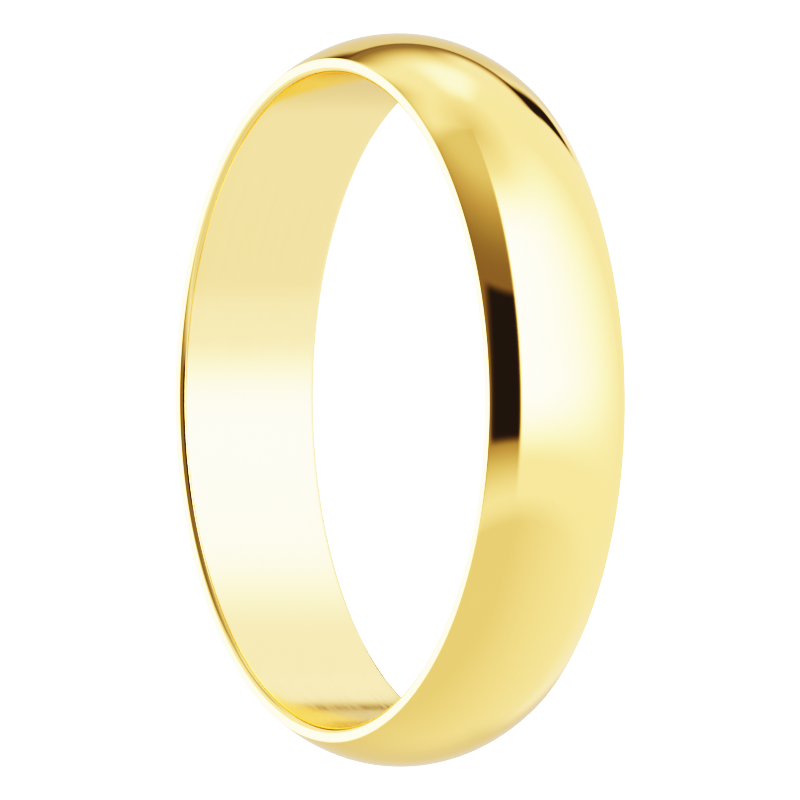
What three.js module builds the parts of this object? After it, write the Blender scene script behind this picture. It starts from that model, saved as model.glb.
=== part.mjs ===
// Plain half-round wedding band in yellow gold: one ring of metal, domed outside, straight inside.
// Millimetres, +Z up. The finger's axis is Y and the origin is at the centre of the finger hole.
import * as THREE from 'three';

// Driving dimensions
const INSIDE_DIAMETER = 17.2;       // finger hole, ring size 54 (US 6 3/4)
const BAND_WIDTH = 4.0;             // from side face to side face, along the finger
const CROWN_THICKNESS = 1.05;       // wall at the middle of the dome
const EDGE_THICKNESS = 0.38;        // wall at the side faces, before the edges are rounded
const INNER_EDGE_RADIUS = 0.17;     // soft edge that slides over the knuckle
const OUTER_EDGE_RADIUS = 0.05;     // softened corner between a side face and the dome

// Facets
const SEGMENTS_AROUND = 80;
const DOME_STEPS = 16;
const INNER_EDGE_STEPS = 4;
const OUTER_EDGE_STEPS = 3;

const boreRadius = INSIDE_DIAMETER / 2;
const crownRadius = boreRadius + CROWN_THICKNESS;
const cornerRadius = boreRadius + EDGE_THICKNESS;
const sideY = BAND_WIDTH / 2;

// The dome is a circular arc through the two outer corners and the crown, centred on y = 0.
const domeRise = crownRadius - cornerRadius;
const domeRadius = (sideY * sideY + domeRise * domeRise) / (2 * domeRise);
const domeCentre = crownRadius - domeRadius;

// The outer edge's rounding touches the side face and the dome from inside.
const outerEdgeY = sideY - OUTER_EDGE_RADIUS;
const outerEdgeReach = domeRadius - OUTER_EDGE_RADIUS;
const outerEdgeRise = Math.sqrt(outerEdgeReach * outerEdgeReach - outerEdgeY * outerEdgeY);
const outerEdgeCentre = domeCentre + outerEdgeRise;
const domeHalfAngle = Math.atan2(outerEdgeY, outerEdgeRise);

// Points of a circular arc in the (radius, y) plane. Angle 0 points away from the axis and
// a quarter turn points along +Y. The last point is left to the next stretch.
function arc(centreR, centreY, radius, from, to, steps) {
  const points = [];
  for (let i = 0; i < steps; i += 1) {
    const angle = from + ((to - from) * i) / steps;
    points.push(new THREE.Vector2(
      centreR + radius * Math.cos(angle),
      centreY + radius * Math.sin(angle),
    ));
  }
  return points;
}

// The section runs over the dome towards +Y, down that side, and back along the bore.
function bandSection() {
  const quarterTurn = Math.PI / 2;
  const halfTurn = Math.PI;
  const innerR = boreRadius + INNER_EDGE_RADIUS;
  const innerY = sideY - INNER_EDGE_RADIUS;
  const section = [
    ...arc(outerEdgeCentre, -outerEdgeY, OUTER_EDGE_RADIUS, -quarterTurn, -domeHalfAngle, OUTER_EDGE_STEPS),
    ...arc(domeCentre, 0, domeRadius, -domeHalfAngle, domeHalfAngle, DOME_STEPS),
    ...arc(outerEdgeCentre, outerEdgeY, OUTER_EDGE_RADIUS, domeHalfAngle, quarterTurn, OUTER_EDGE_STEPS),
    new THREE.Vector2(outerEdgeCentre, sideY),
    ...arc(innerR, innerY, INNER_EDGE_RADIUS, quarterTurn, halfTurn, INNER_EDGE_STEPS),
    new THREE.Vector2(boreRadius, innerY),
    ...arc(innerR, -innerY, INNER_EDGE_RADIUS, halfTurn, halfTurn + quarterTurn, INNER_EDGE_STEPS),
    new THREE.Vector2(innerR, -sideY),
  ];
  section.push(section[0].clone());
  return section;
}

const polishedGold = new THREE.MeshStandardMaterial({ color: 0xe8cd73, metalness: 1.0, roughness: 0.08 });

const band = new THREE.Mesh(new THREE.LatheGeometry(bandSection(), SEGMENTS_AROUND), polishedGold);
band.name = 'band';

const weddingBand = new THREE.Group();
weddingBand.add(band);

export default weddingBand;
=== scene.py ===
"""Plain half-round wedding band in polished 14 ct yellow gold, on its edge on a white light table."""

import math

import bmesh
import bpy
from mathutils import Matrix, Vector


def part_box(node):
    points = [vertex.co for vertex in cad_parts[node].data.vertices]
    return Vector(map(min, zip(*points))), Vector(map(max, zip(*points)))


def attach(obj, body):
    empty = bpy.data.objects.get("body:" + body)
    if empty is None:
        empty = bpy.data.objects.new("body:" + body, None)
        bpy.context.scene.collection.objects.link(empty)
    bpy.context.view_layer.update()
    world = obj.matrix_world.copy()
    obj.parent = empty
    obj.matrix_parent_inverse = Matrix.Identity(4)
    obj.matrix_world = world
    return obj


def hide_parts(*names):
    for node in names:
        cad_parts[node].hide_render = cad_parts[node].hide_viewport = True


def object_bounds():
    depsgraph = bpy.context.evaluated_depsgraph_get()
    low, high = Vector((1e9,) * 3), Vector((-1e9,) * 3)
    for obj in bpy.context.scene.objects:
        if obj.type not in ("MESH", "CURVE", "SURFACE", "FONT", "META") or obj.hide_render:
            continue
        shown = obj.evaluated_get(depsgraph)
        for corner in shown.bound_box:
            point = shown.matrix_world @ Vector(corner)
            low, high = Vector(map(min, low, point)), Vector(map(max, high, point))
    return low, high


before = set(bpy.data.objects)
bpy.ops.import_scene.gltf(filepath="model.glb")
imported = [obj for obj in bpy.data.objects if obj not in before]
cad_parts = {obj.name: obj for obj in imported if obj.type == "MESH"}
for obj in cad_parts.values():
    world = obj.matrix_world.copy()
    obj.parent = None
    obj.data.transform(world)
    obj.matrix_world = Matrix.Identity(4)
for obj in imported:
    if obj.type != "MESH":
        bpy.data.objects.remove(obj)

MM = 0.001
cad_low, cad_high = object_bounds()

# The band's own sizes. The crown, the width and the finger hole's place come from the CAD node's box.
WALL_AT_CROWN = 1.05 * MM
WALL_AT_EDGE = 0.38 * MM
INNER_EDGE_RADIUS = 0.17 * MM
OUTER_EDGE_RADIUS = 0.05 * MM

# Mesh fineness
STEPS_AROUND = 256
DOME_STEPS = 64
BORE_STEPS = 12
INNER_EDGE_STEPS = 10
OUTER_EDGE_STEPS = 6

# 14 ct yellow gold mirrors nearly all the red light, less of the green and under half of the blue.
GOLD = "#fddca2"
GOLD_PATCH = "#fcdb9f"
# Painted brighter reflection: the bore is the same gold as the dome, given a paler colour so that it mirrors
# paler and creamier.
BORE_GOLD_PAINTED_PALER = "#fde1ae"
GOLD_AT_THE_RIM = "#fffaf0"

# The polish, in real sizes
COLOUR_PATCH = 3 * MM
HAIRLINE = 0.15 * MM
BUFFING_WAVE = 2.5 * MM
WAVE_DEPTH = 0.0015 * MM
RING_SPACING = 0.08 * MM
RING_LENGTH = 6 * MM
RING_DEPTH = 0.0004 * MM
FELT_REACH = 0.08 * MM
# The bore's roughness is its ring noise, from 0 to 1, times BORE_ROUGHNESS.
# The dome's goes from one value to the other over the middle of its hairline noise.
BORE_ROUGHNESS = 0.32
DOME_ROUGHNESS = (0.02, 0.05)
NOISE_MIDDLE = (0.3, 0.7)

# A colour Mix node's sockets go by number: its two colours, and the mixed colour that it gives.
FIRST_COLOUR = 6
SECOND_COLOUR = 7
MIXED_COLOUR = 2


def linear(hex_colour):
    """A colour written as sRGB hex, in the linear values that Blender's shaders work in."""
    parts = [int(hex_colour[i:i + 2], 16) / 255 for i in (1, 3, 5)]
    return [p / 12.92 if p <= 0.04045 else ((p + 0.055) / 1.055) ** 2.4 for p in parts] + [1]


def add(tree, kind, sockets=None, **settings):
    """Adds a node, with its settings, and links or fills its sockets."""
    node = tree.nodes.new(kind)
    for name, value in settings.items():
        setattr(node, name, value)
    for key, value in (sockets or {}).items():
        if isinstance(value, bpy.types.NodeSocket):
            tree.links.new(value, node.inputs[key])
        else:
            node.inputs[key].default_value = value
    return node


def make_band():
    """The band as one ring: a pen that turns and slides draws its section, which is spun round the finger."""
    low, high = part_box("band")
    crown, side = high.z, high.y
    bore = crown - WALL_AT_CROWN
    corner = bore + WALL_AT_EDGE
    rise = crown - corner
    dome_radius = (side * side + rise * rise) / (2 * rise)
    dome_centre = crown - dome_radius

    # The outer edge's rounding touches the side face and the dome from inside.
    edge_y = side - OUTER_EDGE_RADIUS
    edge_rise = math.sqrt((dome_radius - OUTER_EDGE_RADIUS) ** 2 - edge_y ** 2)
    edge_z = dome_centre + edge_rise
    dome_half = math.atan2(edge_y, edge_rise)
    edge_turn = math.pi / 2 - dome_half
    inner_z = bore + INNER_EDGE_RADIUS
    inner_y = side - INNER_EDGE_RADIUS

    ring = bmesh.new()

    def turn(vert, centre_y, centre_z, angle, steps):
        """Carries a point of the section round an arc, and returns where it ends."""
        arc = bmesh.ops.spin(ring, geom=[vert], cent=(0, centre_y, centre_z), axis=(-1, 0, 0), angle=angle,
                             steps=steps)
        return next(part for part in arc["geom_last"] if isinstance(part, bmesh.types.BMVert))

    def slide(vert, distance, steps):
        """Carries a point of the section straight along the finger's axis."""
        for _ in range(steps):
            made = bmesh.ops.extrude_vert_indiv(ring, verts=[vert])
            vert = made["verts"][0]
            vert.co.y += distance / steps
        return vert

    start = ring.verts.new((0, -side, edge_z))
    pen = turn(start, -edge_y, edge_z, edge_turn, OUTER_EDGE_STEPS)
    pen = turn(pen, 0, dome_centre, 2 * dome_half, DOME_STEPS)
    pen = turn(pen, edge_y, edge_z, edge_turn, OUTER_EDGE_STEPS)
    pen = next(iter(bmesh.ops.extrude_vert_indiv(ring, verts=[pen])["verts"]))
    pen.co.z = inner_z
    pen = turn(pen, inner_y, inner_z, math.pi / 2, INNER_EDGE_STEPS)
    pen = slide(pen, -2 * inner_y, BORE_STEPS)
    pen = turn(pen, -inner_y, inner_z, math.pi / 2, INNER_EDGE_STEPS)
    ring.edges.new((pen, start))
    bmesh.ops.spin(ring, geom=ring.verts[:] + ring.edges[:], cent=(0, 0, 0), axis=(0, 1, 0),
                   angle=math.tau, steps=STEPS_AROUND, use_merge=True)
    bmesh.ops.recalc_face_normals(ring, faces=ring.faces)
    for face in ring.faces:
        face.smooth = True
    mesh = bpy.data.meshes.new("band_polished")
    ring.to_mesh(mesh)
    ring.free()
    band = bpy.data.objects.new("band_polished", mesh)
    bpy.context.scene.collection.objects.link(band)
    return band


# The studio is a white tent with neutral lamps. Brightness 1 is a white card in full light.
# Compass and height are in degrees: 0 looks out along -Y, 90 along +X, and height 0 is level.
TENT_WALLS = 1.15
TENT_CEILING = 0.78
TABLE_AT_THE_BACK = 1.1
TABLE_IN_FRONT = 0.85
LIT_WHITE = 4.0
# How much of a direction points to the front, where the table starts and stops getting darker
TABLE_FADE = (-0.8, 0.2)
# The heights between which the table becomes the walls, and the walls become the ceiling
WALL_FOOT = (-36, -28)
CEILING_EDGE = (70, 90)
# name: brightness, then its left, right, bottom and top edges, each with how far its softness reaches
PANELS = {
    "right softbox": (3.0, (73, 2), (132, 60), (-6, 13), (60, 14)),
    "left softbox": (2.4, (-78, 5), (-28, 10), (-9, 3), (9, 3)),
    "rear softbox": (1.7, (-132, 10), (-102, 12), (54, 6), (71, 6)),
    "rear screen": (0.78, (-134, 6), (-84, 8), (-42, 14), (32, 1)),
    "rear shade": (0.45, (-122, 6), (-84, 8), (34, 3), (45, 9)),
    "rear stand": (0.35, (-147, 2), (-84, 8), (32, 1), (37, 4)),
    "rear post": (0.13, (-147, 2), (-137, 3), (21, 2), (35, 2)),
    "left post": (0.2, (-99, 4), (-82, 4), (23, 4), (33, 2)),
    "hood": (0.5, (-70, 10), (-15, 15), (44, 8), (60, 14)),
    "front curtain": (0.37, (-20, 14), (72, 2), (-19, 14), (71, 36)),
    "black flag": (0.13, (45, 5), (71, 2), (-11, 2), (32, 2)),
}


def make_studio():
    """Softboxes and flags, far off in a white tent. The camera sees only plain white behind the band."""
    world = bpy.data.worlds.new("studio")
    bpy.context.scene.world = world
    world.use_nodes = True
    tree = world.node_tree
    tree.nodes.clear()
    direction = add(tree, "ShaderNodeTexCoord").outputs["Generated"]
    way = add(tree, "ShaderNodeSeparateXYZ", {0: direction}).outputs
    forward = add(tree, "ShaderNodeMath", {0: way["Y"], 1: -1.0}, operation="MULTIPLY").outputs[0]
    turned = add(tree, "ShaderNodeMath", {0: way["X"], 1: forward}, operation="ARCTAN2").outputs[0]
    raised = add(tree, "ShaderNodeMath", {0: way["Z"]}, operation="ARCSINE").outputs[0]
    compass = add(tree, "ShaderNodeMath", {0: turned}, operation="DEGREES").outputs[0]
    height = add(tree, "ShaderNodeMath", {0: raised}, operation="DEGREES").outputs[0]
    table = add(tree, "ShaderNodeMapRange", {"Value": forward, "From Min": TABLE_FADE[0],
                                             "From Max": TABLE_FADE[1], "To Min": TABLE_AT_THE_BACK,
                                             "To Max": TABLE_IN_FRONT})
    walls = add(tree, "ShaderNodeMapRange", {"Value": height, "From Min": WALL_FOOT[0],
                                             "From Max": WALL_FOOT[1], "To Min": table.outputs["Result"],
                                             "To Max": TENT_WALLS})
    level = add(tree, "ShaderNodeMapRange", {"Value": height, "From Min": CEILING_EDGE[0],
                                             "From Max": CEILING_EDGE[1], "To Min": walls.outputs["Result"],
                                             "To Max": TENT_CEILING}).outputs["Result"]
    for brightness, left, right, bottom, top in PANELS.values():
        inside = 1.0
        for angle, (at, softness), before in ((compass, left, 0), (compass, right, 1),
                                              (height, bottom, 0), (height, top, 1)):
            edge = add(tree, "ShaderNodeMapRange", {"Value": angle, "From Min": at - softness,
                                                    "From Max": at + softness, "To Min": before,
                                                    "To Max": 1 - before}, interpolation_type="SMOOTHSTEP")
            inside = add(tree, "ShaderNodeMath", {0: edge.outputs["Result"], 1: inside},
                         operation="MULTIPLY").outputs[0]
        level = add(tree, "ShaderNodeMix", {"Factor": inside, "A": level, "B": brightness}).outputs["Result"]
    seen = add(tree, "ShaderNodeLightPath").outputs["Is Camera Ray"]
    level = add(tree, "ShaderNodeMix", {"Factor": seen, "A": level, "B": LIT_WHITE}).outputs["Result"]
    background = add(tree, "ShaderNodeBackground", {"Color": linear("#ffffff"), "Strength": level})
    add(tree, "ShaderNodeOutputWorld", {"Surface": background.outputs["Background"]})


# What a studio camera shows for the light that reaches it: shadows fall away fast and whites ease in.
CAMERA_RESPONSE = [(0.0, 0.003), (0.1, 0.008), (0.2, 0.05), (0.35, 0.25), (0.6, 0.62), (0.9, 0.85),
                   (1.2, 0.94), (3.0, 1.0)]


def set_camera_contrast():
    """Gives red, green and blue the same response, up to three times as bright as a white card."""
    view = bpy.context.scene.view_settings
    view.view_transform = "Standard"
    view.use_curve_mapping = True
    view.curve_mapping.use_clip = False
    view.curve_mapping.extend = "HORIZONTAL"
    for channel in view.curve_mapping.curves[:3]:
        channel.points[0].location = CAMERA_RESPONSE[0]
        channel.points[-1].location = CAMERA_RESPONSE[-1]
        for light, shown in CAMERA_RESPONSE[1:-1]:
            channel.points.new(light, shown)
        for point in channel.points:
            point.handle_type = "AUTO_CLAMPED"
    view.curve_mapping.update()


def make_gold(bore):
    """14 ct yellow gold, turned, then buffed with rouge. The dome is a clear mirror. The bore was polished
    on a felt stick that left fine rings running round the finger, so it mirrors a little more softly."""
    gold = bpy.data.materials.new("polished_yellow_gold")
    gold.use_nodes = True
    tree = gold.node_tree
    bsdf = tree.nodes["Principled BSDF"]
    bsdf.inputs["Metallic"].default_value = 1
    bsdf.inputs["Specular Tint"].default_value = linear(GOLD_AT_THE_RIM)
    place = add(tree, "ShaderNodeTexCoord").outputs["Object"]
    axes = add(tree, "ShaderNodeSeparateXYZ", {0: place}).outputs
    flat = add(tree, "ShaderNodeCombineXYZ", {"X": axes["X"], "Z": axes["Z"]}).outputs[0]
    radius = add(tree, "ShaderNodeVectorMath", {0: flat}, operation="LENGTH").outputs["Value"]
    inside = add(tree, "ShaderNodeMapRange", {"Value": radius, "From Min": bore,
                                              "From Max": bore + FELT_REACH,
                                              "To Min": 1, "To Max": 0}).outputs["Result"]

    # The alloy is very slightly uneven in colour, in soft patches. The bore is a paler yellow, which is
    # painted light: it is the same alloy as the dome, made paler so that its reflection reads brighter and
    # creamier.
    patches = add(tree, "ShaderNodeTexNoise", {"Vector": place, "Scale": 1 / COLOUR_PATCH, "Detail": 2})
    patchy = add(tree, "ShaderNodeMix", {"Factor": patches.outputs["Fac"], FIRST_COLOUR: linear(GOLD),
                                         SECOND_COLOUR: linear(GOLD_PATCH)}, data_type="RGBA")
    colour = add(tree, "ShaderNodeMix", {"Factor": inside, FIRST_COLOUR: patchy.outputs[MIXED_COLOUR],
                                         SECOND_COLOUR: linear(BORE_GOLD_PAINTED_PALER)}, data_type="RGBA")
    tree.links.new(colour.outputs[MIXED_COLOUR], bsdf.inputs["Base Color"])

    # Felt rings in the bore: thin lines across the finger's axis, drawn coarser than real so that they show.
    per_metre = (1 / RING_LENGTH, 1 / RING_SPACING, 1 / RING_LENGTH)
    across = add(tree, "ShaderNodeVectorMath", {0: place, 1: per_metre},
                 operation="MULTIPLY").outputs["Vector"]
    rings = add(tree, "ShaderNodeTexNoise", {"Vector": across, "Scale": 1, "Detail": 3}).outputs["Fac"]
    hair = add(tree, "ShaderNodeTexNoise", {"Vector": place, "Scale": 1 / HAIRLINE, "Detail": 4})
    rough = add(tree, "ShaderNodeMapRange", {"Value": hair.outputs["Fac"], "From Min": NOISE_MIDDLE[0],
                                             "From Max": NOISE_MIDDLE[1], "To Min": DOME_ROUGHNESS[0],
                                             "To Max": DOME_ROUGHNESS[1]}).outputs["Result"]
    rougher = add(tree, "ShaderNodeMath", {0: rings, 1: BORE_ROUGHNESS}, operation="MULTIPLY").outputs[0]
    roughness = add(tree, "ShaderNodeMix", {"Factor": inside, "A": rough, "B": rougher}).outputs["Result"]
    tree.links.new(roughness, bsdf.inputs["Roughness"])

    # Buffing by hand leaves the dome a touch wavy, which bends the edges of what it mirrors.
    waves = add(tree, "ShaderNodeTexNoise", {"Vector": place, "Scale": 1 / BUFFING_WAVE, "Detail": 1})
    wavy = add(tree, "ShaderNodeBump", {"Height": waves.outputs["Fac"], "Distance": WAVE_DEPTH})
    ringed = add(tree, "ShaderNodeBump", {"Height": rings, "Strength": inside, "Distance": RING_DEPTH,
                                          "Normal": wavy.outputs["Normal"]})
    tree.links.new(ringed.outputs["Normal"], bsdf.inputs["Normal"])
    return gold


TABLE_HALF_WIDTH = 0.5
TABLE_COLOUR = "#f4f4f4"
TABLE_ROUGHNESS = 0.6


def make_floor(low):
    """A backlit acrylic sheet under the band. The gold doesn't mirror it, but the studio's own table."""
    table = bmesh.new()
    bmesh.ops.create_grid(table, x_segments=1, y_segments=1, size=TABLE_HALF_WIDTH)
    bmesh.ops.translate(table, verts=table.verts, vec=(0, 0, low.z))
    mesh = bpy.data.meshes.new("light_table")
    table.to_mesh(mesh)
    table.free()
    floor = bpy.data.objects.new("light_table", mesh)
    bpy.context.scene.collection.objects.link(floor)
    acrylic = bpy.data.materials.new("backlit_white_acrylic")
    acrylic.use_nodes = True
    bsdf = acrylic.node_tree.nodes["Principled BSDF"]
    bsdf.inputs["Base Color"].default_value = linear(TABLE_COLOUR)
    bsdf.inputs["Roughness"].default_value = TABLE_ROUGHNESS
    bsdf.inputs["Emission Color"].default_value = linear("#ffffff")
    bsdf.inputs["Emission Strength"].default_value = LIT_WHITE
    mesh.materials.append(acrylic)
    floor.visible_glossy = False


band = make_band()
band.data.materials.append(make_gold(cad_high.z - WALL_AT_CROWN))
weighted = band.modifiers.new("flats_stay_flat", "WEIGHTED_NORMAL")
weighted.weight = 100
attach(band, "root")
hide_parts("band")
make_studio()
make_floor(cad_low)

CAMERA_AZIMUTH = math.radians(62.5)
CAMERA_ELEVATION = math.radians(0.52)
CAMERA_DISTANCE = 0.76
VIEW_WIDTH = 21.02 * MM
AIM_TO_THE_RIGHT = 0.05 * MM
NEAREST_SEEN = 0.01
FARTHEST_SEEN = 10
camera_data = bpy.data.cameras.new("camera")
camera = bpy.data.objects.new("camera", camera_data)
bpy.context.scene.collection.objects.link(camera)
back = Vector((math.sin(CAMERA_AZIMUTH) * math.cos(CAMERA_ELEVATION),
               -math.cos(CAMERA_AZIMUTH) * math.cos(CAMERA_ELEVATION), math.sin(CAMERA_ELEVATION)))
right = Vector((math.cos(CAMERA_AZIMUTH), math.sin(CAMERA_AZIMUTH), 0))
camera.location = back * CAMERA_DISTANCE + right * AIM_TO_THE_RIGHT
camera.rotation_mode = "QUATERNION"
camera.rotation_quaternion = (-back).to_track_quat("-Z", "Y")
camera_data.lens = camera_data.sensor_width * CAMERA_DISTANCE / VIEW_WIDTH
camera_data.clip_start = NEAREST_SEEN
camera_data.clip_end = FARTHEST_SEEN
bpy.context.scene.camera = camera
set_camera_contrast()
